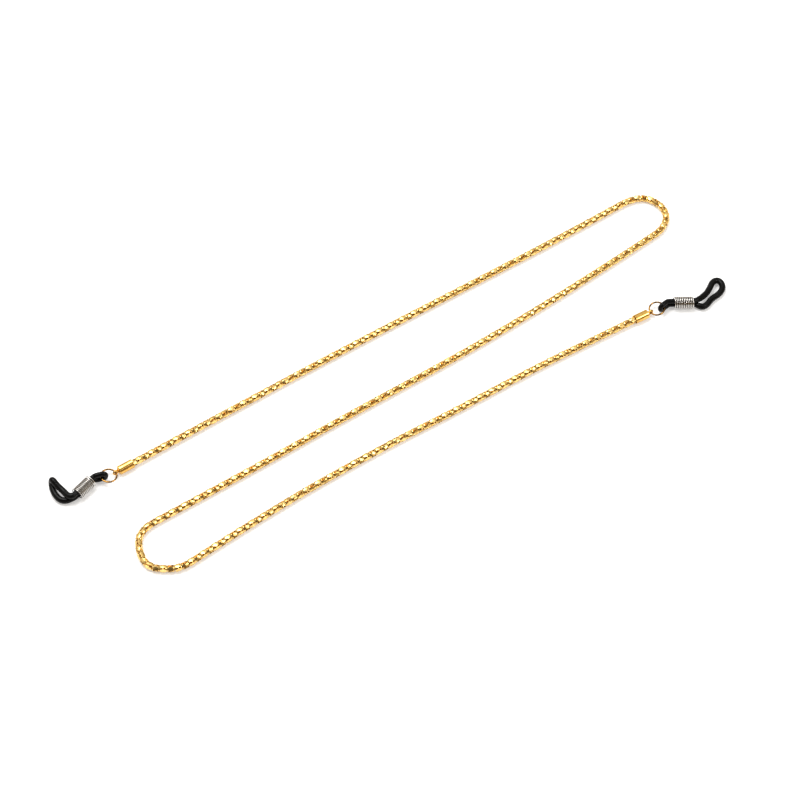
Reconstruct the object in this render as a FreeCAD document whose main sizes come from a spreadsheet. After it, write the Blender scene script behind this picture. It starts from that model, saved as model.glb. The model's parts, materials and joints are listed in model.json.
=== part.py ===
"""Eyeglasses chain strap, lying folded on a table.

Millimetres, +Z up, origin on the table under the middle of the whole strap.
A lantern chain of small ball-jointed links runs in three long legs with two U-bends.
Each end has a crimped cap with an eye, a jump ring, an endless rubber loop for the temple
of a pair of glasses, and a close-wound coil that slides along the rubber.
"""
import FreeCAD, Part
import math
import os

import Sketcher
from FreeCAD import Placement, Rotation, Vector

SIZES = [
    ("chain_diameter", 2.5),
    ("link_pitch", 2.35),
    ("ball_diameter", 1.5),
    ("ball_clearance", 0.1),
    ("neck_diameter", 0.7),
    ("socket_reach", 0.45),
    ("bead_length", 1.9),
    ("bead_round", 0.3),
    ("cap_wall", 0.2),
    ("cap_length", 5.0),
    ("cap_shoulder_length", 0.6),
    ("cap_shoulder_diameter", 1.8),
    ("cap_grip_depth", 3.0),
    ("cap_grip_clearance", 0.1),
    ("eye_reach", 0.75),
    ("eye_diameter", 2.1),
    ("eye_hole_diameter", 1.1),
    ("eye_thickness", 0.8),
    ("ring_mean_diameter", 5.2),
    ("ring_wire_diameter", 0.6),
    ("ring_split_angle", 4.0),
    ("rubber_diameter", 1.75),
    ("strand_gap", 0.02),
    ("fold_clearance", 0.15),
    ("fold_reach_clearance", 0.5),
    ("fold_straight", 1.2),
    ("coil_wire_diameter", 0.34),
    ("coil_clearance", 0.1),
    ("coil_turn_pitch", 0.64),
    ("coil_turns", 11),
    ("coil_exit_run", 0.5),
]

# Legs of the chain, as points chosen by hand.  The first point of the back leg and the last
# point of the front leg are inside the end caps, so they are at the height of a cap's axis.
BACK_LEG = [(-88.0, -38.2), (-56.1, -16.5), (-13.2, 12.2), (23.9, 36.0), (58.1, 58.2), (78.8, 72.4)]
MIDDLE_LEG = [(68.3, 41.3), (25.6, 9.6), (-15.7, -17.6), (-48.6, -40.3), (-77.0, -58.9)]
FRONT_LEG = [(-38.5, -53.6), (-5.0, -30.8), (20.9, -15.0), (45.8, 1.1), (65.6, 12.8), (84.3, 23.6)]

# Turn of the chain at each pivot of a bend but the last one, whose turn the next leg sets.
RIGHT_BEND_TURNS = [-2, -5, -8, -12, -20, -18, -13, -15, -18, -18, -15, -13, -10]
LEFT_BEND_TURNS = [4.5, 10, 17, 19, 14, 8, 10, 16, 22, 19, 6.5, 6.5, 16, 9]

# Each end: where the rubber folds round its ring, which way the coil points, where its near end
# and axis lie from the fold, where the rubber bends before it, and the loop beyond the coil, each
# point from the coil's exit with its lift off the table.
ENDS = {
    "left": {
        "fold_angle": -21.0,
        "coil_heading": 231.0,
        "coil_start": 2.95,
        "coil_offset": -1.35,
        "bend_at": 1.9,
        "loop": [
            (1.15, -0.25, 1.90), (1.9, -1.5, 1.70), (1.3, -4.25, 1.40), (1.3, -6.8, 1.95),
            (0.75, -9.5, 2.75), (1.0, -9.8, 0.05), (2.7, -7.7, 0.05), (3.75, -4.95, 0.05),
            (3.8, -2.9, 0.05), (2.9, -1.5, 0.08), (1.3, -0.65, 0.20),
        ],
    },
    "right": {
        "fold_angle": -10.0,
        "coil_heading": 1.0,
        "coil_start": 3.3,
        "coil_offset": 1.3,
        "bend_at": 1.6,
        "loop": [
            (1.95, 1.65, 1.30), (4.1, 3.95, 0.70), (5.6, 6.6, 0.40), (6.8, 9.45, 0.25),
            (8.65, 10.3, 0.15), (10.05, 8.85, 0.10), (10.05, 6.35, 0.08), (8.5, 4.15, 0.06),
            (5.8, 2.25, 0.05), (4.2, -0.1, 0.05), (2.7, -1.2, 0.05), (1.2, -0.75, 0.10),
        ],
    },
}

BEND_SHARE = 0.45
VOLUME_TOLERANCE = 0.02
CENTRE = 3

document = FreeCAD.newDocument("glasses_chain")
sheet = document.addObject("Spreadsheet::Sheet", "Sizes")
for row, (alias, value) in enumerate(SIZES, start=1):
    sheet.set(f"A{row}", alias.replace("_", " "))
    sheet.set(f"B{row}", str(value))
    sheet.setAlias(f"B{row}", alias)
document.recompute()

size = {alias: float(sheet.get(alias)) for alias, _ in SIZES}
pieces = []


# ---------------------------------------------------------------- places

def heading_of(start, end):
    """Heading of a run in the table plane, in degrees from +X."""
    return math.degrees(math.atan2(end[1] - start[1], end[0] - start[0]))


def step(point, heading, distance):
    """The point that lies a distance away along a heading."""
    angle = math.radians(heading)
    return Vector(point[0] + distance * math.cos(angle), point[1] + distance * math.sin(angle), point[2])


def walk_bend(start, heading, turns):
    """Pivots and link headings of a bend of equal links that starts at one pivot."""
    pivots = [start]
    headings = []
    for turn in turns:
        heading += turn
        headings.append(heading)
        pivots.append(step(pivots[-1], heading, size["link_pitch"]))
    return pivots, headings


chain_height = size["chain_diameter"] / 2
cap_height = size["chain_diameter"] / 2 + size["cap_grip_clearance"] + size["cap_wall"]
coil_bore = size["rubber_diameter"] + size["strand_gap"] / 2 + size["coil_clearance"]
coil_height = coil_bore + size["coil_wire_diameter"]
coil_length = size["coil_turn_pitch"] * size["coil_turns"]
strand_offset = (size["rubber_diameter"] + size["strand_gap"]) / 2

back_route = [Vector(x, y, chain_height) for x, y in BACK_LEG]
back_route[0].z = cap_height
right_pivots, right_headings = walk_bend(
    back_route[-1], heading_of(back_route[-2], back_route[-1]), RIGHT_BEND_TURNS)
middle_route = [right_pivots[-1]] + [Vector(x, y, chain_height) for x, y in MIDDLE_LEG]
left_pivots, left_headings = walk_bend(
    middle_route[-1], heading_of(middle_route[-2], middle_route[-1]), LEFT_BEND_TURNS)
front_route = [left_pivots[-1]] + [Vector(x, y, chain_height) for x, y in FRONT_LEG]
front_route[-1].z = cap_height


def end_places(side, inside, next_point):
    """Places of everything at one end, from the chain's end inside the cap."""
    facts = ENDS[side]
    heading = heading_of(next_point, inside)
    level = Vector(inside.x, inside.y, cap_height)
    mouth = step(level, heading, -size["cap_grip_depth"])
    hole = step(mouth, heading, size["cap_length"] + size["cap_shoulder_length"] + size["eye_reach"])
    ring_radius = size["ring_mean_diameter"] / 2
    tilt = math.degrees(math.asin((coil_height - cap_height) / size["ring_mean_diameter"]))
    ring_turn = Rotation(Vector(0, 0, 1), heading) * Rotation(Vector(0, 1, 0), -tilt)
    centre = hole + ring_turn.multVec(Vector(ring_radius, 0, 0))
    angle = math.radians(facts["fold_angle"])
    on_ring = Vector(ring_radius * math.cos(angle), ring_radius * math.sin(angle), 0)
    fold = centre + ring_turn.multVec(on_ring)
    fold.z = coil_height
    coil = step(fold, facts["coil_heading"], facts["coil_start"])
    coil = step(coil, facts["coil_heading"] + 90, facts["coil_offset"])
    return {
        "heading": heading, "mouth": mouth, "hole": hole, "tilt": tilt, "ring_centre": centre,
        "ring_turn": ring_turn, "fold": fold, "coil": coil, "coil_heading": facts["coil_heading"],
    }


ends = {
    "left": end_places("left", back_route[0], back_route[1]),
    "right": end_places("right", front_route[-1], front_route[-2]),
}


def loop_route(side):
    """Centre line of an endless rubber loop: over its ring, through its coil and round."""
    facts, place = ENDS[side], ends[side]
    bend = Vector(facts["bend_at"], facts["coil_offset"], 0)
    towards_bend = bend * (1 / bend.Length)
    beside_wire = (size["ring_wire_diameter"] + size["rubber_diameter"]) / 2
    fold_rise = beside_wire + size["fold_clearance"]
    fold_reach = beside_wire + size["fold_reach_clearance"]
    exit_x = facts["coil_start"] + coil_length + size["coil_exit_run"]
    lying = size["rubber_diameter"] / 2 - coil_height

    def strand(side_sign):
        return [
            towards_bend * -fold_reach + Vector(0, 0, side_sign * fold_rise),
            towards_bend * size["fold_straight"] + Vector(0, 0, side_sign * fold_rise),
            bend + Vector(0, 0, side_sign * strand_offset),
            Vector(exit_x, facts["coil_offset"], side_sign * strand_offset),
        ]

    beyond = [Vector(exit_x + x, facts["coil_offset"] + y, lying + lift) for x, y, lift in facts["loop"]]
    local = strand(1) + beyond + strand(-1)[::-1]
    turn = Rotation(Vector(0, 0, 1), place["coil_heading"])
    return [place["fold"] + turn.multVec(point) for point in local]


# ---------------------------------------------------------------- shapes

def rounded_path(points, closed=False):
    """Straight runs joined by tangent arcs, as a wire, and the radii of its arcs."""
    count = len(points)
    corners = range(count) if closed else range(1, count - 1)
    cuts, radii = {}, []
    for index in corners:
        before, corner, after = points[index - 1], points[index], points[(index + 1) % count]
        to_before, to_after = before - corner, after - corner
        shorter = min(to_before.Length, to_after.Length)
        half_turn = (math.pi - to_before.getAngle(to_after)) / 2
        reach = BEND_SHARE * shorter
        radius = reach / math.tan(half_turn)
        unit_before, unit_after = to_before * (1 / to_before.Length), to_after * (1 / to_after.Length)
        middle = (unit_before + unit_after) * (1 / (unit_before + unit_after).Length)
        depth = radius / math.cos(half_turn) - radius
        cuts[index] = (corner + unit_before * reach, corner + middle * depth, corner + unit_after * reach)
        radii.append(radius)
    edges = []
    for index in range(count if closed else count - 1):
        following = (index + 1) % count
        start = cuts[index][2] if index in cuts else points[index]
        end = cuts[following][0] if following in cuts else points[following]
        edges.append(Part.LineSegment(start, end).toShape())
        if following in cuts:
            edges.append(Part.Arc(*cuts[following]).toShape())
    return Part.Wire(edges), radii


def sweep(edges, diameter):
    """Round tube along edges that follow on from each other."""
    begin = edges[0].valueAt(edges[0].FirstParameter)
    direction = edges[0].tangentAt(edges[0].FirstParameter)
    section = Part.Wire([Part.Circle(begin, direction, diameter / 2).toShape()])
    return Part.Wire(edges).makePipeShell([section], True, False)


def tube_along(name, points, diameter, closed=False):
    """Solid tube along a rounded path, with its bend radii and volume reported."""
    wire, radii = rounded_path(points, closed)
    if closed:
        half = len(wire.Edges) // 2
        first, second = (sweep(edges, diameter) for edges in (wire.Edges[:half], wire.Edges[half:]))
        shape = first.fuse(second).Solids[0]
    else:
        shape = sweep(wire.Edges, diameter)
    expected = math.pi * diameter ** 2 / 4 * wire.Length
    print(f"{name}: length {wire.Length:.1f}, radii {min(radii):.1f} to {max(radii):.1f}, "
          f"volume {shape.Volume:.1f} of {expected:.1f}")
    if abs(shape.Volume - expected) > VOLUME_TOLERANCE * expected:
        raise RuntimeError(f"{name} has lost volume")
    return shape


def bind(thing, **expressions):
    """Bind properties of a document object to the sheet."""
    for name, expression in expressions.items():
        thing.setExpression(name, expression)


def finish_piece(thing, label, placement=None):
    """Name one sub-part and put it in its place."""
    thing.Label = label
    if placement is not None:
        thing.Placement = placement
    pieces.append(thing)


def plane_of(body, role):
    """One of the origin planes or axes of a body."""
    return next(item for item in body.Origin.OriginFeatures if item.Role == role)


def new_sketch(body, name):
    """Sketch on the upright plane that holds the body's long axis."""
    sketch = body.newObject("Sketcher::SketchObject", name)
    sketch.AttachmentSupport = [(plane_of(body, "XZ_Plane"), "")]
    sketch.MapMode = "FlatFace"
    return sketch


def draw_outline(sketch, corners, arcs=None):
    """Closed outline through corners given as expressions, with some sides drawn as arcs.

    corners: (x expression, y expression) pairs.  arcs: index of a side to its centre's pair.
    """
    arcs = arcs or {}
    solved = [tuple(sketch.evalExpression(text) for text in corner) for corner in corners]
    solved = [(float(x), float(y)) for x, y in solved]
    count = len(corners)
    for index in range(count):
        start, end = solved[index], solved[(index + 1) % count]
        if index not in arcs:
            sketch.addGeometry(Part.LineSegment(Vector(*start, 0), Vector(*end, 0)), False)
            continue
        centre = tuple(float(sketch.evalExpression(text)) for text in arcs[index])
        begin = math.atan2(start[1] - centre[1], start[0] - centre[0])
        finish = math.atan2(end[1] - centre[1], end[0] - centre[0])
        radius = math.dist(start, centre)
        circle = Part.Circle(Vector(*centre, 0), Vector(0, 0, 1), radius)
        sketch.addGeometry(Part.ArcOfCircle(circle, min(begin, finish), max(begin, finish)), False)
    for index in range(count):
        following = (index + 1) % count
        here = end_of_side(sketch, index, solved[following])
        there = end_of_side(sketch, following, solved[following])
        sketch.addConstraint(Sketcher.Constraint("Coincident", index, here, following, there))
    for index, corner in enumerate(corners):
        vertex = end_of_side(sketch, index, solved[index])
        pin(sketch, "DistanceX", index, vertex, corner[0])
        pin(sketch, "DistanceY", index, vertex, corner[1])
    for index, (along, out) in arcs.items():
        # The fixed ends leave the centre free along one line, so one distance settles it.
        if math.isclose(solved[index][1], solved[(index + 1) % count][1]):
            pin(sketch, "DistanceY", index, CENTRE, out)
        else:
            pin(sketch, "DistanceX", index, CENTRE, along)


def pin(sketch, kind, index, vertex, text):
    """Hold one coordinate of a point of a side at an expression."""
    value = float(sketch.evalExpression(text))
    number = sketch.addConstraint(Sketcher.Constraint(kind, -1, 1, index, vertex, value))
    sketch.setExpression(f"Constraints[{number}]", text)


def end_of_side(sketch, index, place):
    """Which end of a side, 1 or 2, lies at a place."""
    start = sketch.getPoint(index, 1)
    return 1 if math.hypot(start.x - place[0], start.y - place[1]) < 1e-6 else 2


def revolve_outline(body, name, corners, arcs=None):
    """Revolve an outline once round the body's long axis."""
    sketch = new_sketch(body, f"{name}_outline")
    draw_outline(sketch, corners, arcs)
    feature = body.newObject("PartDesign::Revolution", name)
    feature.Profile = sketch
    feature.ReferenceAxis = (sketch, ["H_Axis"])
    feature.Angle = 360
    return feature


# ---------------------------------------------------------------- chain

BALL = "Sizes.ball_diameter / 2"
SOCKET = "(Sizes.ball_diameter / 2 + Sizes.ball_clearance)"
BEAD = "Sizes.chain_diameter / 2"
NECK = "Sizes.neck_diameter / 2"
BEAD_FRONT = "(Sizes.bead_length - Sizes.socket_reach)"


def make_link(label, pivot, heading):
    """One link of a bend: a bead with a socket behind and a ball on a neck in front."""
    body = document.addObject("PartDesign::Body", label)
    corners = [
        (SOCKET, "0"),
        ("-Sizes.socket_reach", f"sqrt({SOCKET} ^ 2 - Sizes.socket_reach ^ 2)"),
        ("-Sizes.socket_reach", f"{BEAD} - Sizes.bead_round"),
        ("-Sizes.socket_reach + Sizes.bead_round", BEAD),
        (f"{BEAD_FRONT} - Sizes.bead_round", BEAD),
        (BEAD_FRONT, f"{BEAD} - Sizes.bead_round"),
        (BEAD_FRONT, NECK),
        (f"Sizes.link_pitch - sqrt(({BALL}) ^ 2 - ({NECK}) ^ 2)", NECK),
        (f"Sizes.link_pitch + {BALL}", "0"),
    ]
    revolve_outline(body, f"{label}_bead", corners, {0: ("0", "0"), 7: ("Sizes.link_pitch", "0")})
    finish_piece(body, label, Placement(pivot, Rotation(Vector(0, 0, 1), heading)))


def make_ball(name, pivot, heading):
    """Ball and neck on the end of a leg, centred on its pivot."""
    ball = document.addObject("Part::Sphere", f"{name}_ball")
    bind(ball, Radius=BALL)
    ball.Placement = Placement(pivot, Rotation(Vector(0, 0, 1), heading))
    neck = document.addObject("Part::Cylinder", f"{name}_neck")
    bind(neck, Radius=NECK, Height=f"Sizes.link_pitch - {BEAD_FRONT}")
    back = step(pivot, heading, -leg_setback())
    neck.Placement = Placement(back, Rotation(Vector(0, 0, 1), heading) * Rotation(Vector(0, 1, 0), 90))
    return [ball, neck]


def leg_setback():
    """How far a leg's tube stops short of the pivot that its ball is centred on."""
    return size["link_pitch"] - (size["bead_length"] - size["socket_reach"])


def make_leg(label, route, socket, ball):
    """One straight-lying leg of the chain, with a socket at its start or a ball at its end."""
    points = [Vector(point) for point in route]
    start_heading = heading_of(points[0], points[1])
    end_heading = heading_of(points[-2], points[-1])
    if socket:
        points[0] = step(points[0], start_heading, -size["socket_reach"])
    if ball:
        points[-1] = step(points[-1], end_heading, -leg_setback())
    leg = document.addObject("Part::Feature", f"{label}_tube")
    leg.Shape = tube_along(label, points, size["chain_diameter"])
    if ball:
        whole = document.addObject("Part::MultiFuse", f"{label}_with_ball")
        whole.Shapes = [leg] + make_ball(label, route[-1], end_heading)
        leg = whole
    if socket:
        hollow = document.addObject("Part::Sphere", f"{label}_socket")
        bind(hollow, Radius=SOCKET)
        hollow.Placement = Placement(route[0], Rotation(Vector(0, 0, 1), start_heading))
        cut = document.addObject("Part::Cut", f"{label}_with_socket")
        cut.Base, cut.Tool = leg, hollow
        leg = cut
    finish_piece(leg, label)


# ---------------------------------------------------------------- ends

def make_cap(side):
    """Crimped cap: a cup for the chain's end, a shoulder and a flat upright eye."""
    place = ends[side]
    label = f"{side}_end_cap"
    body = document.addObject("PartDesign::Body", label)
    bore = "Sizes.chain_diameter / 2 + Sizes.cap_grip_clearance"
    radius = f"{bore} + Sizes.cap_wall"
    floor = "Sizes.cap_grip_depth + Sizes.cap_grip_clearance / 2"
    corners = [
        ("0", bore),
        ("0", radius),
        ("Sizes.cap_length", radius),
        ("Sizes.cap_length + Sizes.cap_shoulder_length", "Sizes.cap_shoulder_diameter / 2"),
        ("Sizes.cap_length + Sizes.cap_shoulder_length", "0"),
        (floor, "0"),
        (floor, bore),
    ]
    revolve_outline(body, f"{label}_cup", corners)
    centre = "Sizes.cap_length + Sizes.cap_shoulder_length + Sizes.eye_reach"
    for name, kind, diameter in (("eye", "Pad", "eye_diameter"), ("hole", "Pocket", "eye_hole_diameter")):
        sketch = new_sketch(body, f"{label}_{name}_outline")
        middle = float(sketch.evalExpression(centre))
        circle = Part.Circle(Vector(middle, 0, 0), Vector(0, 0, 1), size[diameter] / 2)
        sketch.addGeometry(circle, False)
        across = sketch.addConstraint(Sketcher.Constraint("Diameter", 0, size[diameter]))
        sketch.setExpression(f"Constraints[{across}]", f"Sizes.{diameter}")
        along = sketch.addConstraint(Sketcher.Constraint("DistanceX", -1, 1, 0, 3, middle))
        sketch.setExpression(f"Constraints[{along}]", centre)
        sketch.addConstraint(Sketcher.Constraint("PointOnObject", 0, 3, -1))
        feature = body.newObject(f"PartDesign::{kind}", f"{label}_{name}")
        feature.Profile = sketch
        feature.SideType = "Symmetric"
        if kind == "Pad":
            bind(feature, Length="Sizes.eye_thickness")
        else:
            bind(feature, Length="2 * Sizes.eye_thickness")
    finish_piece(body, label, Placement(place["mouth"], Rotation(Vector(0, 0, 1), place["heading"])))


def make_ring(side):
    """Jump ring through the cap's eye, with its split turned to one side."""
    place = ends[side]
    ring = document.addObject("Part::Torus", f"{side}_jump_ring")
    bind(ring, Radius1="Sizes.ring_mean_diameter / 2", Radius2="Sizes.ring_wire_diameter / 2",
         Angle3="360 - Sizes.ring_split_angle")
    split_turn = Rotation(Vector(0, 0, 1), 100)
    finish_piece(ring, f"{side}_jump_ring", Placement(place["ring_centre"], place["ring_turn"] * split_turn))


def make_rubber(side):
    """Endless rubber loop."""
    label = f"{side}_rubber_loop"
    rubber = document.addObject("Part::Feature", label)
    rubber.Shape = tube_along(label, loop_route(side), size["rubber_diameter"], closed=True)
    finish_piece(rubber, label)


def make_coil(side):
    """Close-wound coil: a thin sleeve with a round rib for each turn of wire."""
    place = ends[side]
    label = f"{side}_coil_slider"
    body = document.addObject("PartDesign::Body", label)
    inner = "(Sizes.rubber_diameter + Sizes.strand_gap / 2 + Sizes.coil_clearance)"
    wire_centre = f"{inner} + Sizes.coil_wire_diameter / 2"
    corners, arcs = [("0", inner), ("0", wire_centre)], {}
    for turn in range(int(size["coil_turns"])):
        middle = f"Sizes.coil_turn_pitch * {turn + 0.5}"
        corners.append((f"{middle} - Sizes.coil_wire_diameter / 2", wire_centre))
        arcs[len(corners) - 1] = (middle, wire_centre)
        corners.append((f"{middle} + Sizes.coil_wire_diameter / 2", wire_centre))
    length = "Sizes.coil_turn_pitch * Sizes.coil_turns"
    corners += [(length, wire_centre), (length, inner)]
    revolve_outline(body, f"{label}_turns", corners, arcs)
    finish_piece(body, label, Placement(place["coil"], Rotation(Vector(0, 0, 1), place["coil_heading"])))


# ---------------------------------------------------------------- assembly

def build():
    """Make every sub-part, check it and write it out."""
    make_leg("back_leg", back_route, socket=False, ball=True)
    make_leg("middle_leg", middle_route, socket=True, ball=True)
    make_leg("front_leg", front_route, socket=True, ball=False)
    for side, pivots, headings in (
            ("right", right_pivots, right_headings), ("left", left_pivots, left_headings)):
        for number, (pivot, heading) in enumerate(zip(pivots, headings), start=1):
            make_link(f"{side}_bend_link_{number:02d}", pivot, heading)
    for side in ends:
        make_cap(side)
        make_ring(side)
        make_rubber(side)
        make_coil(side)
    document.recompute()
    for thing in document.Objects:
        if {"Invalid", "Error"} & set(thing.State):
            raise RuntimeError(f"{thing.Label} failed: {thing.State}")
    os.makedirs("parts", exist_ok=True)
    for piece in pieces:
        shape = piece.Shape
        if shape.isNull() or not shape.isValid() or len(shape.Solids) != 1:
            raise RuntimeError(f"{piece.Label} is not one valid solid")
        path = os.path.join("parts", f"{piece.Label}.step")
        shape.exportStep(path)
        if abs(Part.read(path).Volume / shape.Volume - 1) > VOLUME_TOLERANCE:
            raise RuntimeError(f"{piece.Label} reads back with another volume")
    box = FreeCAD.BoundBox()
    for piece in pieces:
        box.add(piece.Shape.optimalBoundingBox())
    print(f"{len(pieces)} sub-parts, X {box.XMin:.2f} to {box.XMax:.2f}, "
          f"Y {box.YMin:.2f} to {box.YMax:.2f}, Z {box.ZMin:.2f} to {box.ZMax:.2f}")


build()
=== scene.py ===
"""Looks of the eyeglasses chain strap: lantern chain, end caps, jump rings, rubber loops, coils."""

import json
import math

import bmesh
import bpy
from mathutils import Matrix, Vector, noise


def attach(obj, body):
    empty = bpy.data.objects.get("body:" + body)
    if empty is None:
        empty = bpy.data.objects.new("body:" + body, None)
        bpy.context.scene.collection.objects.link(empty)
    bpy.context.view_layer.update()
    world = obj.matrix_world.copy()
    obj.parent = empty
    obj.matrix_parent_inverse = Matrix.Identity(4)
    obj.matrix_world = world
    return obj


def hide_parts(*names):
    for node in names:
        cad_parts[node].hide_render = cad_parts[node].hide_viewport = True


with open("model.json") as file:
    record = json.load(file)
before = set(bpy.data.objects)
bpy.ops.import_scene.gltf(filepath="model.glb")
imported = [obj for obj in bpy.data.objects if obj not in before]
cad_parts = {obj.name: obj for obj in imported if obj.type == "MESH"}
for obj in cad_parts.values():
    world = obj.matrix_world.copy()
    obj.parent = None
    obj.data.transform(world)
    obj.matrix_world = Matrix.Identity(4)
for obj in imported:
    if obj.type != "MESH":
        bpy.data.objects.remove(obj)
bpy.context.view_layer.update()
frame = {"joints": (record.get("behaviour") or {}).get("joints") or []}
bpy.ops.object.select_all(action="DESELECT")

MM = 0.001
JOINTS = {joint["name"]: joint for joint in frame["joints"]}
TARGET = (0.0018, -0.0102, 0.0)
CAMERA_DISTANCE = 0.8128
CAMERA_ELEVATION = math.radians(55)
CAMERA_SIDE = (0, -math.cos(CAMERA_ELEVATION), math.sin(CAMERA_ELEVATION))
LENS_LENGTH = 109.8
SENSOR_WIDTH = 36

# ---------------------------------------------------------------- camera


def make_camera():
    """Camera that looks along +Y and down at the strap."""
    data = bpy.data.cameras.new("camera")
    data.lens = LENS_LENGTH
    data.sensor_width = SENSOR_WIDTH
    data.clip_start = 0.01
    camera = bpy.data.objects.new("camera", data)
    bpy.context.scene.collection.objects.link(camera)
    camera.location = Vector(TARGET) + Vector(CAMERA_SIDE) * CAMERA_DISTANCE
    camera.rotation_euler = (math.pi / 2 - CAMERA_ELEVATION, 0, 0)
    bpy.context.scene.camera = camera


make_camera()

# ---------------------------------------------------------------- routes

CHAIN_HEIGHT = 1.25 * MM
CAP_HEIGHT = 1.55 * MM
LINK_PITCH = 2.35 * MM
RUBBER_DIAMETER = 1.75 * MM
RUBBER_SWELL = 1.25  # how much thicker the rubber is where neither coil nor ring pulls it thin

# Points of each leg between its pivots and its end cap, as in the part's source.
BACK_LEG = [
    (-0.0880, -0.0382), (-0.0561, -0.0165), (-0.0132, 0.0122), (0.0239, 0.0360), (0.0581, 0.0582),
]
MIDDLE_LEG = [(0.0683, 0.0413), (0.0256, 0.0096), (-0.0157, -0.0176), (-0.0486, -0.0403)]
FRONT_LEG = [
    (-0.0385, -0.0536), (-0.0050, -0.0308), (0.0209, -0.0150), (0.0458, 0.0011),
    (0.0656, 0.0128), (0.0843, 0.0236),
]


def pivot(name):
    """Where a joint turns."""
    return Vector(JOINTS[name]["pos_m"])


def raised(points, height):
    """Points of the table plane at a height above it."""
    return [Vector((x, y, height)) for x, y in points]


right_pivots = [pivot(f"right_bend_pivot_{number:02d}") for number in range(1, 15)]
left_pivots = [pivot(f"left_bend_pivot_{number:02d}") for number in range(1, 16)]
back_route = raised(BACK_LEG, CHAIN_HEIGHT) + [right_pivots[0]]
middle_route = [right_pivots[-1]] + raised(MIDDLE_LEG, CHAIN_HEIGHT) + [left_pivots[0]]
front_route = [left_pivots[-1]] + raised(FRONT_LEG, CHAIN_HEIGHT)
back_route[0].z = CAP_HEIGHT
front_route[-1].z = CAP_HEIGHT


def spline_curve(name, points, diameter=0.0, swell=None):
    """Smooth curve with the points as its control points.

    With a diameter it is a round tube, and swell gives how much thicker it is at each point.
    """
    data = bpy.data.curves.new(name, "CURVE")
    data.dimensions = "3D"
    data.resolution_u = 16
    spline = data.splines.new("NURBS")
    spline.points.add(len(points) - 1)
    for control, point, thicker in zip(spline.points, points, swell or [1.0] * len(points)):
        control.co = (*point, 1)
        control.radius = thicker
    spline.order_u = 3
    spline.use_endpoint_u = True
    data.bevel_depth = diameter / 2
    data.bevel_resolution = 6
    curve = bpy.data.objects.new(name, data)
    bpy.context.scene.collection.objects.link(curve)
    return curve


def line_of(points):
    """Points close together along the smooth curve that has these control points."""
    curve = spline_curve("line", points)
    bpy.context.view_layer.update()
    mesh = bpy.data.meshes.new_from_object(curve)
    line = [vertex.co.copy() for vertex in mesh.vertices]
    bpy.data.meshes.remove(mesh)
    data = curve.data
    bpy.data.objects.remove(curve)
    bpy.data.curves.remove(data)
    return line


def length_of(line):
    """Length of a line given as points."""
    return sum((after - before).length for before, after in zip(line, line[1:]))


def along(line, distance):
    """Place and direction at a distance along a line."""
    for before, after in zip(line, line[1:]):
        run = (after - before).length
        if distance <= run:
            break
        distance -= run
    direction = (after - before).normalized()
    return before + direction * min(distance, run), direction


# Sizes of an end, as in the part's source but for the last two: the fold's straight is a little
# longer here, and one more point lies just inside the coil.
RING_RADIUS = 2.6 * MM
RING_WIRE = 0.6 * MM
COIL_LENGTH = 7.04 * MM
COIL_HEIGHT = 2.2 * MM
COIL_EXIT_RUN = 0.5 * MM
STRAND_OFFSET = 0.885 * MM
FOLD_RISE = 1.325 * MM
FOLD_REACH = 1.675 * MM
FOLD_STRAIGHT = 1.45 * MM
INTO_COIL = 0.3 * MM

# Each end, in metres and degrees: which way the chain leaves, how the fold over the ring and the
# coil are turned, where the coil's near end and axis lie from the fold, where the rubber bends
# before it, and the loop beyond the coil, with the part's own places.
ENDS = {
    "left": {
        "chain_heading": math.atan2(BACK_LEG[0][1] - BACK_LEG[1][1], BACK_LEG[0][0] - BACK_LEG[1][0]),
        "fold_angle": -21.0,
        "coil_heading": 231.0,
        "coil_start": 0.00295,
        "coil_offset": -0.00135,
        "bend_at": 0.0019,
        "loop": [
            (0.00115, -0.00025, 0.00190), (0.0019, -0.0015, 0.00170), (0.0013, -0.00425, 0.00140),
            (0.0013, -0.0068, 0.00195), (0.00075, -0.0095, 0.00275), (0.0010, -0.0098, 0.00005),
            (0.0027, -0.0077, 0.00005), (0.00375, -0.00495, 0.00005), (0.0038, -0.0029, 0.00005),
            (0.0029, -0.0015, 0.00008), (0.0013, -0.00065, 0.00020),
        ],
    },
    "right": {
        "chain_heading": math.atan2(
            FRONT_LEG[-1][1] - FRONT_LEG[-2][1], FRONT_LEG[-1][0] - FRONT_LEG[-2][0]),
        "fold_angle": -10.0,
        "coil_heading": 1.0,
        "coil_start": 0.0033,
        "coil_offset": 0.0013,
        "bend_at": 0.0016,
        "loop": [
            (0.00195, 0.00165, 0.00130), (0.0041, 0.00395, 0.00070), (0.0056, 0.0066, 0.00040),
            (0.0068, 0.00945, 0.00025), (0.00865, 0.0103, 0.00015), (0.01005, 0.00885, 0.00010),
            (0.01005, 0.00635, 0.00008), (0.0085, 0.00415, 0.00006), (0.0058, 0.00225, 0.00005),
            (0.0042, -0.0001, 0.00005), (0.0027, -0.0012, 0.00005), (0.0012, -0.00075, 0.00010),
        ],
    },
}


def end_frame(side):
    """Turn and place of the fold's own axes: +X along the coil, +Z up."""
    facts = ENDS[side]
    centre = pivot(f"{side}_loop_turn")
    angle = facts["chain_heading"] + math.radians(facts["fold_angle"])
    fold = centre + Vector((math.cos(angle), math.sin(angle), 0)) * RING_RADIUS
    fold.z = COIL_HEIGHT
    return Matrix.Translation(fold) @ Matrix.Rotation(math.radians(facts["coil_heading"]), 4, "Z")


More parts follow.
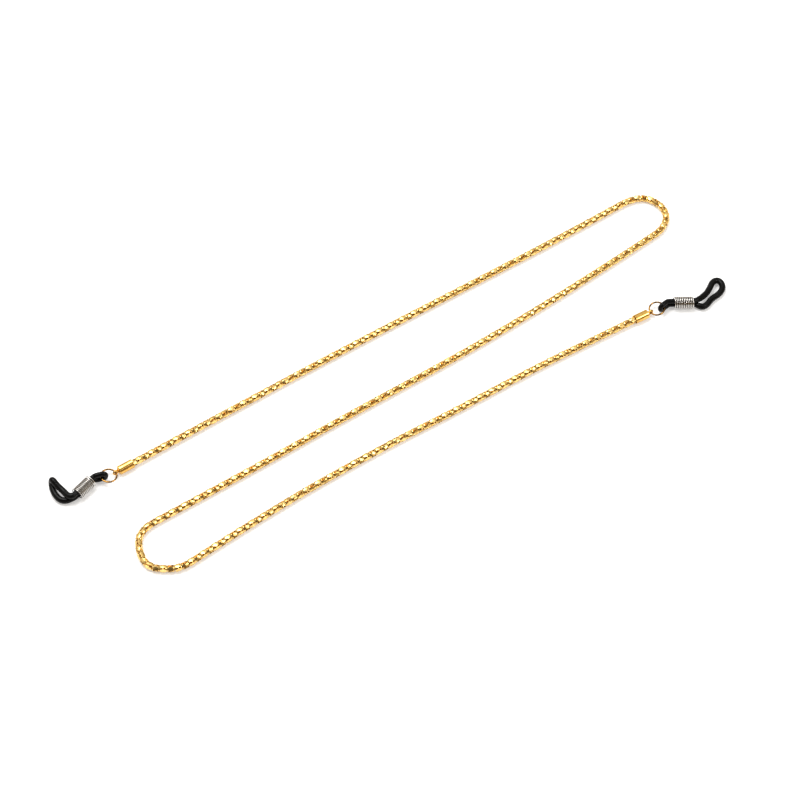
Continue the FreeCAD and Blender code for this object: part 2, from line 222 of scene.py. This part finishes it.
def rubber_route(side):
    """Points of one rubber loop, from the middle of its coil round and back, and its swell at each."""
    facts = ENDS[side]
    offset = facts["coil_offset"]
    bend = Vector((facts["bend_at"], offset, 0))
    towards_bend = bend.normalized()
    exit_x = facts["coil_start"] + COIL_LENGTH + COIL_EXIT_RUN
    middle_x = facts["coil_start"] + COIL_LENGTH / 2
    lying = RUBBER_DIAMETER * RUBBER_SWELL / 2 - COIL_HEIGHT

    def fold_side(sign):
        rise, spread = Vector((0, 0, sign * FOLD_RISE)), Vector((0, 0, sign * STRAND_OFFSET))
        return [
            towards_bend * -FOLD_REACH + rise,
            towards_bend * FOLD_STRAIGHT + rise,
            bend + spread,
            Vector((facts["coil_start"] + INTO_COIL, offset, 0)) + spread,
        ]

    far = [Vector((exit_x + x, offset + y, lying + lift)) for x, y, lift in facts["loop"]]
    start = [Vector((middle_x, offset, STRAND_OFFSET)), Vector((exit_x, offset, STRAND_OFFSET))]
    back = [Vector((exit_x, offset, -STRAND_OFFSET))]
    local = start + far + back + fold_side(-1)[::-1] + fold_side(1) + start[:1]
    swell = [1.0] * len(local)
    swell[len(start):len(start) + len(far)] = [RUBBER_SWELL] * len(far)
    place = end_frame(side)
    return [place @ point for point in local], swell


lines = {
    "back_leg": line_of(back_route),
    "middle_leg": line_of(middle_route),
    "front_leg": line_of(front_route),
}
rubber_lines = {side: line_of(rubber_route(side)[0]) for side in ENDS}

# ---------------------------------------------------------------- finishes


def node_group(name, inputs, outputs):
    """Empty shader group with named sockets: (name, kind, value) inputs and (name, kind) outputs."""
    group = bpy.data.node_groups.new(name, "ShaderNodeTree")
    for label, kind, value in inputs:
        socket = group.interface.new_socket(label, in_out="INPUT", socket_type=f"NodeSocket{kind}")
        socket.default_value = value
    for label, kind in outputs:
        group.interface.new_socket(label, in_out="OUTPUT", socket_type=f"NodeSocket{kind}")
    return group, group.nodes.new("NodeGroupInput"), group.nodes.new("NodeGroupOutput")


def add_node(tree, kind, settings=None, **links):
    """Shader node with settings, and with sockets linked from other sockets or set to values.

    A socket is given by its name, with _ for a space, or by i and its number.
    """
    node = tree.nodes.new(f"ShaderNode{kind}")
    for name, value in (settings or {}).items():
        setattr(node, name, value)
    for name, value in links.items():
        key = int(name[1:]) if name[1:].isdigit() else name.replace("_", " ")
        socket = node.inputs[key]
        if isinstance(value, bpy.types.NodeSocket):
            tree.links.new(value, socket)
        else:
            socket.default_value = value
    return node


def make_polish_group():
    """Fine wear of polished metal: soft cloudy roughness, small dents and cloudy tarnish.

    The marked hollows get painted shade.
    """
    group, given, made = node_group(
        "polished finish and shade",
        [("Bright", "Color", (1, 1, 1, 1)), ("Shade", "Color", (0.3, 0.3, 0.3, 1)),
         ("Roughness", "Float", 0.2), ("Cloud Scale", "Float", 400.0), ("Dent Scale", "Float", 1500.0),
         ("Grime", "Float", 0.3), ("Hollow", "Float", 0.0)],
        [("Color", "Color"), ("Roughness", "Float"), ("Height", "Float")])
    place = add_node(group, "TexCoord").outputs["Object"]
    cloud = add_node(group, "TexNoise", Vector=place, Scale=given.outputs["Cloud Scale"], Detail=3.0)
    dents = add_node(group, "TexNoise", Vector=place, Scale=given.outputs["Dent Scale"], Detail=2.0)
    patch = add_node(
        group, "MapRange", i0=cloud.outputs["Fac"], i1=0.42, i2=0.62, i3=0.0, i4=given.outputs["Grime"])
    # painted shade: the hollow mask darkens the colour towards Shade, on top of the tarnish clouds
    grime_and_shade = add_node(
        group, "Math", {"operation": "MAXIMUM"}, i0=patch.outputs[0], i1=given.outputs["Hollow"])
    color = add_node(
        group, "Mix", {"data_type": "RGBA"}, i0=grime_and_shade.outputs[0],
        i6=given.outputs["Bright"], i7=given.outputs["Shade"])
    spread = add_node(group, "MapRange", i0=cloud.outputs["Fac"], i1=0.3, i2=0.7, i3=0.75, i4=1.3)
    rough = add_node(
        group, "Math", {"operation": "MULTIPLY"}, i0=given.outputs["Roughness"], i1=spread.outputs[0])
    group.links.new(color.outputs[2], made.inputs["Color"])
    group.links.new(rough.outputs[0], made.inputs["Roughness"])
    group.links.new(dents.outputs["Fac"], made.inputs["Height"])
    return group


polish_group = make_polish_group()


def make_metal(name, bright, shade, roughness, clouds, dents, hollow=False):
    """Polished metal with clouds of (scale, grime) and dents of (scale, strength, depth).

    hollow says that its pieces mark their hollows, which then get painted shade.
    """
    material = bpy.data.materials.new(name)
    material.use_nodes = True
    tree = material.node_tree
    shader = tree.nodes["Principled BSDF"]
    shader.inputs["Metallic"].default_value = 1.0
    wear_and_shade = tree.nodes.new("ShaderNodeGroup")
    wear_and_shade.node_tree = polish_group
    wear_and_shade.inputs["Bright"].default_value = bright
    wear_and_shade.inputs["Shade"].default_value = shade
    wear_and_shade.inputs["Roughness"].default_value = roughness
    wear_and_shade.inputs["Cloud Scale"].default_value = clouds[0]
    wear_and_shade.inputs["Grime"].default_value = clouds[1]
    wear_and_shade.inputs["Dent Scale"].default_value = dents[0]
    # painted shade: the stored hollow marks darken the colour in the hollows
    if hollow:
        mark = add_node(tree, "Attribute", {"attribute_name": "hollow"})
        tree.links.new(mark.outputs["Fac"], wear_and_shade.inputs["Hollow"])
    relief = add_node(tree, "Bump", Height=wear_and_shade.outputs["Height"], Strength=dents[1], Distance=dents[2])
    tree.links.new(wear_and_shade.outputs["Color"], shader.inputs["Base Color"])
    tree.links.new(wear_and_shade.outputs["Roughness"], shader.inputs["Roughness"])
    tree.links.new(relief.outputs["Normal"], shader.inputs["Normal"])
    return material


def make_rubber_material():
    """Black rubber: a dull sheen with faint dust and a fine moulded grain."""
    material = bpy.data.materials.new("black rubber")
    material.use_nodes = True
    tree = material.node_tree
    shader = tree.nodes["Principled BSDF"]
    shader.inputs["Specular IOR Level"].default_value = 0.10
    place = add_node(tree, "TexCoord").outputs["Object"]
    dust = add_node(tree, "TexNoise", Vector=place, Scale=350.0, Detail=4.0)
    grain = add_node(tree, "TexNoise", Vector=place, Scale=2500.0, Detail=2.0)
    tone = add_node(tree, "ValToRGB", Fac=dust.outputs["Fac"])
    tone.color_ramp.elements[0].position = 0.35
    tone.color_ramp.elements[0].color = (0.002, 0.002, 0.002, 1)
    tone.color_ramp.elements[1].position = 0.75
    tone.color_ramp.elements[1].color = (0.006, 0.006, 0.006, 1)
    rough = add_node(tree, "MapRange", i0=dust.outputs["Fac"], i1=0.3, i2=0.7, i3=0.20, i4=0.32)
    relief = add_node(tree, "Bump", Height=grain.outputs["Fac"], Strength=0.6, Distance=0.00006)
    tree.links.new(tone.outputs["Color"], shader.inputs["Base Color"])
    tree.links.new(rough.outputs[0], shader.inputs["Roughness"])
    tree.links.new(relief.outputs["Normal"], shader.inputs["Normal"])
    return material


# hollow=True: the chain and the coil get painted shade in their marked hollows
chain_gold = make_metal(
    "chain gold", (1.0, 0.71, 0.26, 1), (0.46, 0.21, 0.025, 1), 0.21, (1900.0, 0.6),
    (3000.0, 0.65, 0.0001), hollow=True)
cap_gold = make_metal(
    "cap gold", (0.82, 0.50, 0.13, 1), (0.36, 0.15, 0.02, 1), 0.18, (500.0, 0.4),
    (1500.0, 0.08, 0.00004))
ring_gold = make_metal(
    "ring gold", (0.40, 0.21, 0.05, 1), (0.05, 0.02, 0.004, 1), 0.15, (600.0, 0.9),
    (1500.0, 0.10, 0.00004))
coil_steel = make_metal(
    "coil steel", (0.78, 0.75, 0.71, 1), (0.01, 0.01, 0.01, 1), 0.20, (700.0, 0.2),
    (1500.0, 0.10, 0.00004), hollow=True)
black_rubber = make_rubber_material()

# ---------------------------------------------------------------- modelling by hand


def add_primitive(kind, name, rotation=(0, 0, 0), **values):
    """Primitive as the only selected object, with its turn applied, in edit mode."""
    bpy.ops.object.select_all(action="DESELECT")
    getattr(bpy.ops.mesh, f"primitive_{kind}_add")(rotation=rotation, **values)
    piece = bpy.context.object
    piece.name = piece.data.name = name
    bpy.ops.object.transform_apply(location=True, rotation=True, scale=True)
    bpy.ops.object.mode_set(mode="EDIT")
    return piece


def select(kind, test):
    """Select, in edit mode, the VERT, EDGE or FACE items whose middle passes a test."""
    bpy.ops.mesh.select_mode(type=kind)
    bpy.ops.mesh.select_all(action="DESELECT")
    mesh = bpy.context.object.data
    made = bmesh.from_edit_mesh(mesh)
    items = {"VERT": made.verts, "EDGE": made.edges, "FACE": made.faces}[kind]
    for item in items:
        corners = [item.co] if kind == "VERT" else [vertex.co for vertex in item.verts]
        if test(sum(corners, Vector()) / len(corners)):
            item.select_set(True)
    made.select_flush_mode()
    bmesh.update_edit_mesh(mesh)


def scale(x, y, z, centre=(0, 0, 0)):
    """Scale what is selected about a centre."""
    bpy.ops.transform.resize(value=(x, y, z), center_override=centre)


SLACK = 0.02 * MM


def near(value, goal):
    """Whether two lengths agree within the slack."""
    return abs(value - goal) < SLACK


def leave_edit_mode(smooth_angle):
    """Turn all faces outwards, go back to object mode and smooth all but the sharp edges."""
    bpy.ops.mesh.select_all(action="SELECT")
    bpy.ops.mesh.normals_make_consistent(inside=False)
    bpy.ops.object.mode_set(mode="OBJECT")
    bpy.ops.object.shade_smooth_by_angle(angle=math.radians(smooth_angle))


def mark_hollows(piece, depth_of):
    """Store how deep in a hollow each point is, from 0 to 1, for the painted shade there."""
    mark = piece.data.attributes.new("hollow", "FLOAT", "POINT")
    mark.data.foreach_set("value", [depth_of(vertex.co) for vertex in piece.data.vertices])


def copy_at(piece, place, name):
    """Copy of a finished piece, with its own mesh moved to a place."""
    copied = piece.copy()
    copied.data = piece.data.copy()
    copied.name = copied.data.name = name
    copied.data.transform(place)
    bpy.context.scene.collection.objects.link(copied)
    return copied


def join(parts, name):
    """One piece from several."""
    bpy.ops.object.select_all(action="DESELECT")
    for part in parts:
        part.select_set(True)
    bpy.context.view_layer.objects.active = parts[0]
    bpy.ops.object.join()
    parts[0].name = parts[0].data.name = name
    return parts[0]


def discard(piece):
    """Remove a pattern piece that has been copied."""
    mesh = piece.data
    bpy.data.objects.remove(piece)
    bpy.data.meshes.remove(mesh)


# ---------------------------------------------------------------- chain

LINK_LENGTH = 2.24 * MM
HUB_RADIUS = 1.06 * MM
SHOULDER_RADIUS = 1.19 * MM
BELLY_RADIUS = 1.25 * MM
SHOULDER_AT = 0.82 * MM
PIT_DEPTH = 0.50 * MM
PIT_AT_BELLY = 0.35  # width of a pit there, as a share of the cylinder's own face
PIT_AT_SHOULDER = 1.45
PETAL_RIDGE = 0.95  # how far out the middle of a petal stands, as a share of the belly's radius
LINK_CENTRE = 0.5 * MM  # from the pivot that a link starts at
NECK_RADIUS = 0.34 * MM
NECK_OVERLAP = 0.05 * MM  # how far a neck goes into the next link
SHADED_WITHIN = 0.78 * MM  # nearer the axis than this, the gold gets painted shade


def make_lantern_link():
    """One link: four bowed petals between two hubs, with deep pits between the petals."""
    link = add_primitive(
        "cylinder", "lantern link", rotation=(0, 0, math.radians(15)), vertices=12,
        radius=HUB_RADIUS, depth=LINK_LENGTH)
    half = LINK_LENGTH / 2
    select("EDGE", lambda middle: near(middle.z, 0))
    bpy.ops.mesh.subdivide(number_cuts=3)
    select("VERT", lambda place: near(abs(place.z), half / 2))
    scale(SHOULDER_RADIUS / HUB_RADIUS, SHOULDER_RADIUS / HUB_RADIUS, SHOULDER_AT / (half / 2))
    select("VERT", lambda place: near(place.z, 0))
    scale(BELLY_RADIUS / HUB_RADIUS, BELLY_RADIUS / HUB_RADIUS, 1)
    select("VERT", lambda place: abs(place.z) < half * 0.9 and near(abs(place.x), abs(place.y)))
    scale(PETAL_RIDGE, PETAL_RIDGE, 1)
    for width, height in ((PIT_AT_BELLY, 0), (PIT_AT_SHOULDER, SHOULDER_AT)):
        select("VERT", lambda place: near(abs(place.z), height) and abs(place.x) > 3 * abs(place.y))
        scale(1, width, 1)
        select("VERT", lambda place: near(abs(place.z), height) and abs(place.y) > 3 * abs(place.x))
        scale(width, 1, 1)
    select("FACE", lambda middle: (
        abs(middle.z) < SHOULDER_AT and near(min(abs(middle.x), abs(middle.y)), 0)))
    bpy.ops.mesh.poke(offset=-PIT_DEPTH, use_relative_offset=False, center_mode="MEDIAN")
    select("FACE", lambda middle: near(middle.z, half))
    bpy.ops.mesh.inset(thickness=HUB_RADIUS - NECK_RADIUS, depth=LINK_PITCH - LINK_LENGTH + NECK_OVERLAP)
    leave_edit_mode(35)
    # painted shade in the pits and at the necks between links
    mark_hollows(link, lambda place: 1.0 if place.xy.length < SHADED_WITHIN else 0.0)
    link.data.materials.append(chain_gold)
    return link


def link_place(centre, direction, roll):
    """Place of a link: its own +Z along the chain, turned round it by a roll."""
    level = Vector((0, 0, 1)).cross(direction).normalized()
    upright = direction.cross(level)
    turn = Matrix((level, upright, direction)).transposed().to_4x4()
    return Matrix.Translation(centre) @ turn @ Matrix.Rotation(roll, 4, "Z")


LINKS_PER_TWIST = 38.0
# Where each stretch's count of links starts, so that the twist goes on from one to the next.
LINKS_BEFORE = {"back_leg": 0, "right_bend": 85, "middle_leg": 100, "left_bend": 187, "front_leg": 202}


def link_roll(number):
    """Roll of a link: half a petal from its neighbour's, with the chain's slow uneven twist."""
    drift = noise.noise(Vector((number / LINKS_PER_TWIST, 0.3, 0.7)))
    return math.radians(45 * (number % 2) + 90 * drift)


lantern_link = make_lantern_link()


def make_leg(name, first, last):
    """One leg of links along its line, whose first and last end is a pivot or a cap.

    The links are counted from a pivot, and between two pivots they share the line evenly.
    """
    line = lines[name]
    whole = length_of(line)
    shared = first == last == "pivot"
    count = round(whole / LINK_PITCH) if shared else int(whole / LINK_PITCH)
    pitch = whole / count if shared else LINK_PITCH
    links = []
    for number in range(count):
        if first == "pivot":
            distance = number * pitch + LINK_CENTRE
        else:
            distance = whole - (number + 1) * pitch + LINK_CENTRE
        centre, direction = along(line, distance)
        roll = link_roll(LINKS_BEFORE[name] + number)
        links.append(copy_at(lantern_link, link_place(centre, direction, roll), f"{name}_link"))
    return join(links, f"{name}_links")


def make_bend(side, pivots):
    """The separate links of one bend, each between its two pivots."""
    for index, (before, after) in enumerate(zip(pivots, pivots[1:]), start=1):
        direction = (after - before).normalized()
        roll = link_roll(LINKS_BEFORE[f"{side}_bend"] + index)
        place = link_place(before + direction * LINK_CENTRE, direction, roll)
        link = copy_at(lantern_link, place, f"{side}_link_{index:02d}_petals")
        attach(link, f"{side}_link_{index:02d}")
        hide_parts(f"{side}_bend_link_{index:02d}")


def declare_leg(name, body, first, last):
    leg = make_leg(name, first, last)
    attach(leg, body)
    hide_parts(name)


declare_leg("back_leg", "back", "cap", "pivot")
declare_leg("middle_leg", "middle", "pivot", "pivot")
declare_leg("front_leg", "front", "pivot", "cap")
make_bend("right", right_pivots)
make_bend("left", left_pivots)
discard(lantern_link)

# ---------------------------------------------------------------- end caps

CAP_RADIUS = 1.55 * MM
CAP_LENGTH = 5.0 * MM
CAP_BORE = 1.33 * MM
BORE_DEPTH = 1.2 * MM
MOUTH_EDGE = 0.05 * MM
MOUTH_RISE = 0.04 * MM
CAP_EDGE = 0.12 * MM
CAP_EDGE_RISE = 0.05 * MM
SLOPE_WIDTH = 0.63 * MM
SLOPE_RISE = 0.42 * MM
CAP_SHOULDER_LENGTH = 0.6 * MM
CAP_NECK_RADIUS = 0.55 * MM
CAP_NECK_RISE = 0.08 * MM
CAP_NECK_LENGTH = 0.22 * MM
EYE_REACH = 0.75 * MM
EYE_MEAN = 0.80 * MM
EYE_WIRE = 0.27 * MM
EYE_THICKENING = 1.35


def make_cap(side):
    """Polished tube over the chain's end, its sloped shoulder and its upright eye."""
    cap = add_primitive(
        "cylinder", f"{side}_cap", vertices=48, radius=CAP_RADIUS, depth=CAP_LENGTH,
        location=(0, 0, CAP_LENGTH / 2))
    select("FACE", lambda middle: near(middle.z, CAP_LENGTH))
    bpy.ops.mesh.inset(thickness=CAP_EDGE, depth=CAP_EDGE_RISE)
    bpy.ops.mesh.inset(thickness=SLOPE_WIDTH, depth=SLOPE_RISE)
    bpy.ops.mesh.inset(
        thickness=CAP_RADIUS - CAP_EDGE - SLOPE_WIDTH - CAP_NECK_RADIUS, depth=CAP_NECK_RISE)
    bpy.ops.mesh.extrude_region_move(TRANSFORM_OT_translate={"value": (0, 0, CAP_NECK_LENGTH)})
    select("FACE", lambda middle: near(middle.z, 0))
    bpy.ops.mesh.inset(thickness=MOUTH_EDGE, depth=MOUTH_RISE)
    bpy.ops.mesh.inset(thickness=CAP_RADIUS - CAP_BORE - 2 * MOUTH_EDGE, depth=0.0)
    bpy.ops.mesh.inset(thickness=MOUTH_EDGE, depth=-MOUTH_RISE)
    bpy.ops.mesh.extrude_region_move(TRANSFORM_OT_translate={"value": (0, 0, BORE_DEPTH)})
    leave_edit_mode(40)
    eye = add_primitive(
        "torus", "eye", rotation=(math.pi / 2, 0, 0), major_segments=40, minor_segments=14,
        major_radius=EYE_MEAN, minor_radius=EYE_WIRE)
    bpy.ops.mesh.select_all(action="SELECT")
    scale(1, EYE_THICKENING, 1)
    bpy.ops.transform.translate(value=(0, 0, CAP_LENGTH + CAP_SHOULDER_LENGTH + EYE_REACH))
    leave_edit_mode(60)
    cap = join([cap, eye], f"{side}_cap")
    heading = ENDS[side]["chain_heading"]
    outward = Vector((math.cos(heading), math.sin(heading), 0))
    hole = pivot(f"{side}_ring_swing")
    mouth = hole - outward * (CAP_LENGTH + CAP_SHOULDER_LENGTH + EYE_REACH)
    across = Vector((0, 0, 1)).cross(outward)
    turn = Matrix((Vector((0, 0, -1)), across, outward)).transposed().to_4x4()
    cap.data.transform(Matrix.Translation(mouth) @ turn)
    cap.data.materials.append(cap_gold)
    return cap


# ---------------------------------------------------------------- jump rings

RING_SPLIT = math.radians(5)
SPLIT_AT = math.radians(102)
WIRE_EDGE = 0.06 * MM
WIRE_EDGE_RISE = 0.03 * MM


def make_ring(side):
    """Jump ring of round wire, bent round from one end to the other, with a narrow split."""
    ring = add_primitive(
        "circle", f"{side}_ring", rotation=(math.pi / 2, 0, 0), vertices=16, radius=RING_WIRE / 2,
        fill_type="NGON", location=(RING_RADIUS, 0, 0))
    bpy.ops.mesh.inset(thickness=WIRE_EDGE, depth=WIRE_EDGE_RISE)
    bpy.ops.mesh.select_all(action="SELECT")
    bpy.ops.mesh.spin(
        steps=72, angle=2 * math.pi - RING_SPLIT, center=(0, 0, 0), axis=(0, 0, 1))
    bpy.ops.mesh.select_all(action="SELECT")
    bpy.ops.mesh.remove_doubles(threshold=0.001 * MM)
    leave_edit_mode(40)
    hole, centre = pivot(f"{side}_ring_swing"), pivot(f"{side}_loop_turn")
    outward = (centre - hole).normalized()
    across = Vector((0, 0, 1)).cross(outward).normalized()
    turn = Matrix((outward, across, outward.cross(across))).transposed().to_4x4()
    ring.data.transform(Matrix.Translation(centre) @ turn @ Matrix.Rotation(SPLIT_AT, 4, "Z"))
    ring.data.materials.append(ring_gold)
    return ring


# ---------------------------------------------------------------- coils

COIL_TURNS = 11
COIL_WIRE = 0.32 * MM
COIL_MEAN = 2.04 * MM
SHADE_SLEEVE_RADIUS = 1.90 * MM
SHADE_SLEEVE_WALL = 0.08 * MM
SHADE_SLEEVE_LENGTH = 5.0 * MM
TURN_STEPS = 40
DARK_FROM = COIL_MEAN + 0.06 * MM  # nearer the axis than this, the wire darkens with painted shade
DARK_FADE = 0.18 * MM


def make_coil(side):
    """Spring of one wire, wound round and along a thin dark sleeve that shows between its turns.

    The sleeve's black is partly the rubber inside and partly painted shade between the turns; the
    wire's inner side is darkened with painted shade too.
    """
    coil = add_primitive(
        "circle", f"{side}_coil", rotation=(math.pi / 2, 0, 0), vertices=10, radius=COIL_WIRE / 2,
        location=(COIL_MEAN, 0, COIL_WIRE / 2))
    bpy.ops.object.mode_set(mode="OBJECT")
    winding = coil.modifiers.new("winding", "SCREW")
    winding.axis = "Z"
    winding.angle = 2 * math.pi * COIL_TURNS
    winding.screw_offset = COIL_LENGTH - COIL_WIRE
    winding.steps = winding.render_steps = TURN_STEPS * COIL_TURNS
    winding.use_merge_vertices = False
    bpy.ops.object.modifier_apply(modifier="winding")
    bpy.ops.object.mode_set(mode="EDIT")
    bpy.ops.mesh.select_mode(type="EDGE")
    bpy.ops.mesh.select_all(action="DESELECT")
    bpy.ops.mesh.select_non_manifold()
    bpy.ops.mesh.edge_face_add()
    leave_edit_mode(50)
    # dark sleeve: painted shade between the turns, standing also for the black rubber inside
    shade_sleeve = add_primitive(
        "cylinder", "shade_sleeve", vertices=40, radius=SHADE_SLEEVE_RADIUS, depth=SHADE_SLEEVE_LENGTH,
        location=(0, 0, COIL_LENGTH / 2), end_fill_type="NOTHING")
    bpy.ops.object.mode_set(mode="OBJECT")
    wall = shade_sleeve.modifiers.new("wall", "SOLIDIFY")
    wall.thickness = SHADE_SLEEVE_WALL
    bpy.ops.object.modifier_apply(modifier="wall")
    bpy.ops.object.mode_set(mode="EDIT")
    leave_edit_mode(50)
    coil = join([coil, shade_sleeve], f"{side}_coil")
    # painted shade: the sleeve and the wire's inner side darken towards the axis
    mark_hollows(coil, lambda place: max(0.0, min(1.0, (DARK_FROM - place.xy.length) / DARK_FADE)))
    facts = ENDS[side]
    start = Vector((facts["coil_start"], facts["coil_offset"], 0))
    lay_along = Matrix.Rotation(math.pi / 2, 4, "Y")
    coil.data.transform(end_frame(side) @ Matrix.Translation(start) @ lay_along)
    coil.data.materials.append(coil_steel)
    return coil


# ---------------------------------------------------------------- ends together


def make_rubber(side):
    """Rubber loop as one smooth cord whose ends meet inside the coil."""
    route, swell = rubber_route(side)
    rubber = spline_curve(f"{side}_rubber", route, RUBBER_DIAMETER, swell)
    rubber.data.use_fill_caps = True
    rubber.data.materials.append(black_rubber)
    return rubber


for side, leg in (("left", "back"), ("right", "front")):
    cap, ring, coil, rubber = make_cap(side), make_ring(side), make_coil(side), make_rubber(side)
    for piece, body, node, finish in (
            (cap, leg, f"{side}_end_cap", "gold_cap"),
            (ring, f"{side}_ring", f"{side}_jump_ring", "gold_ring"),
            (coil, f"{side}_slider", f"{side}_coil_slider", "coil_steel"),
            (rubber, f"{side}_loop", f"{side}_rubber_loop", "rubber")):
        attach(piece, body)
        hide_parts(node)

# ---------------------------------------------------------------- floor and light

FLOOR_SIZE = 6
FLOOR_DEPTH = 0.0001
PAPER = (0.80, 0.80, 0.80, 1)
PAPER_LIFT = 0.35
OVERHEAD = (-0.17, 0.28, 0.945)
OVERHEAD_FROM = 0.30
OVERHEAD_FULL = 0.85
HORIZON_COLOR = (0.32, 0.24, 0.14, 1)
CAMERA_SHADE = (0.04, 0.03, 0.02, 1)
CAMERA_SHADE_FROM = 0.72
CAMERA_SHADE_FULL = 0.92
CAMERA_SHADE_STRENGTH = 0.85


def make_floor():
    """Plain white floor that shows white to the camera and keeps the shadows."""
    bpy.ops.mesh.primitive_plane_add(size=FLOOR_SIZE, location=(0, 0, -FLOOR_DEPTH))
    floor = bpy.context.object
    floor.name = "floor"
    material = bpy.data.materials.new("white floor")
    material.use_nodes = True
    tree = material.node_tree
    tree.nodes.clear()
    paper = add_node(tree, "BsdfDiffuse", Color=PAPER)
    path = add_node(tree, "LightPath")
    seen = add_node(
        tree, "Math", {"operation": "MAXIMUM"},
        i0=path.outputs["Is Camera Ray"], i1=path.outputs["Is Glossy Ray"])
    lift = add_node(tree, "Math", {"operation": "MULTIPLY"}, i0=seen.outputs[0], i1=PAPER_LIFT)
    glow = add_node(tree, "Emission", Color=(1, 1, 1, 1), Strength=lift.outputs[0])
    both = add_node(tree, "AddShader", i0=paper.outputs[0], i1=glow.outputs[0])
    add_node(tree, "OutputMaterial", Surface=both.outputs[0])
    floor.data.materials.append(material)


def make_light(name, place, size, power):
    """Soft square lamp aimed at the origin."""
    data = bpy.data.lights.new(name, "AREA")
    data.size = size
    data.energy = power
    lamp = bpy.data.objects.new(name, data)
    bpy.context.scene.collection.objects.link(lamp)
    lamp.location = place
    lamp.rotation_euler = (-Vector(place)).to_track_quat("-Z", "Y").to_euler()


def make_world():
    """Soft studio surround: bright overhead, dim at the horizon and dark where the camera stands."""
    world = bpy.data.worlds.new("studio")
    world.use_nodes = True
    tree = world.node_tree
    place = add_node(tree, "TexCoord").outputs["Generated"]
    facing = add_node(tree, "VectorMath", {"operation": "DOT_PRODUCT"}, i0=place, i1=OVERHEAD)
    ramp = add_node(tree, "ValToRGB", Fac=facing.outputs["Value"])
    ramp.color_ramp.elements[0].position = OVERHEAD_FROM
    ramp.color_ramp.elements[0].color = HORIZON_COLOR
    ramp.color_ramp.elements[1].position = OVERHEAD_FULL
    ramp.color_ramp.elements[1].color = (1, 1, 1, 1)
    towards = add_node(tree, "VectorMath", {"operation": "DOT_PRODUCT"}, i0=place, i1=CAMERA_SIDE)
    shade = add_node(
        tree, "MapRange", i0=towards.outputs["Value"], i1=CAMERA_SHADE_FROM, i2=CAMERA_SHADE_FULL,
        i3=0.0, i4=CAMERA_SHADE_STRENGTH)
    around = add_node(
        tree, "Mix", {"data_type": "RGBA"}, i0=shade.outputs[0], i6=ramp.outputs["Color"],
        i7=CAMERA_SHADE)
    tree.links.new(around.outputs[2], tree.nodes["Background"].inputs["Color"])
    bpy.context.scene.world = world


make_floor()
make_light("window", (-0.26, 0.28, 0.92), 0.6, 8.0)
make_light("fill", (0.55, -0.25, 0.60), 0.25, 2.0)
make_world()
bpy.context.scene.view_settings.view_transform = "Standard"
